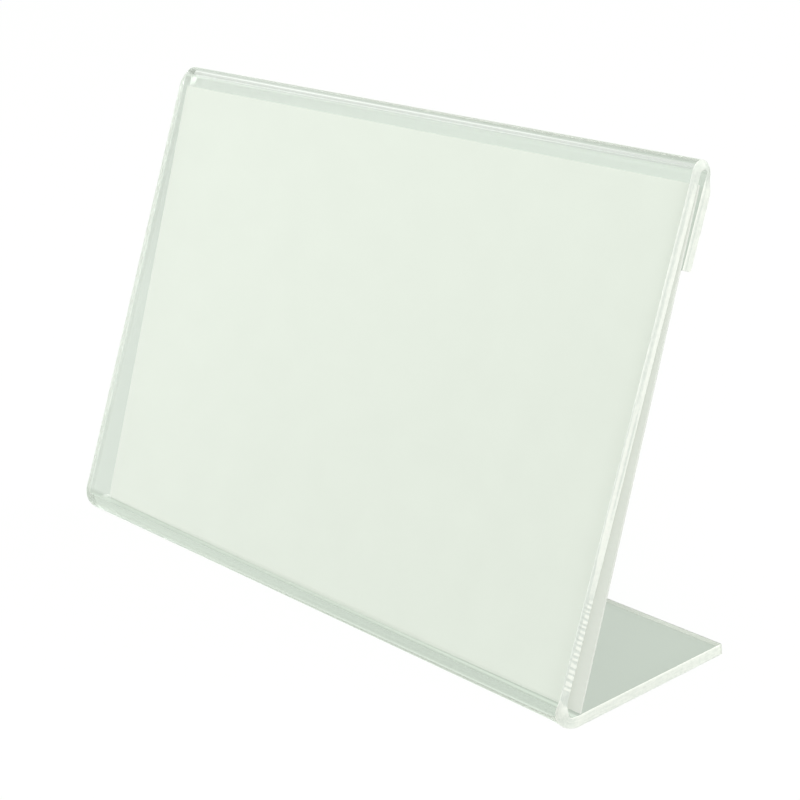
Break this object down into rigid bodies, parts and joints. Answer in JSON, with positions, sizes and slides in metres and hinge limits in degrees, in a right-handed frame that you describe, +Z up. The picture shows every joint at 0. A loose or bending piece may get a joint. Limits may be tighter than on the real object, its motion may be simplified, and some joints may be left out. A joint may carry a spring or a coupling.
{
  "type": "card stand",
  "caption": "Clear L-shaped acrylic card stand: a sheet bent into a flat base and a leaning front panel, folded over at the top, with a loose white card tucked behind the panel.",
  "frame": {"origin": "on the table, in the middle of the base's flat underside", "axes": "+X to the reader's right along the bends, +Y to the back, +Z up"},
  "size_m": [0.15, 0.042, 0.0924],
  "materials": {
    "clear_acrylic": "clear polished faces, saw-cut edges left satin",
    "white_card": "matt uncoated white card"
  },
  "bodies": {
    "stand": {"acrylic_stand": "clear_acrylic"},
    "card": {"card_insert": "white_card"}
  },
  "joints": [
    {"name": "card_slide", "type": "slide", "parent": "stand", "child": "card", "axis": [1, 0, 0], "range_m": [-0.155, 0.155]}
  ]
}
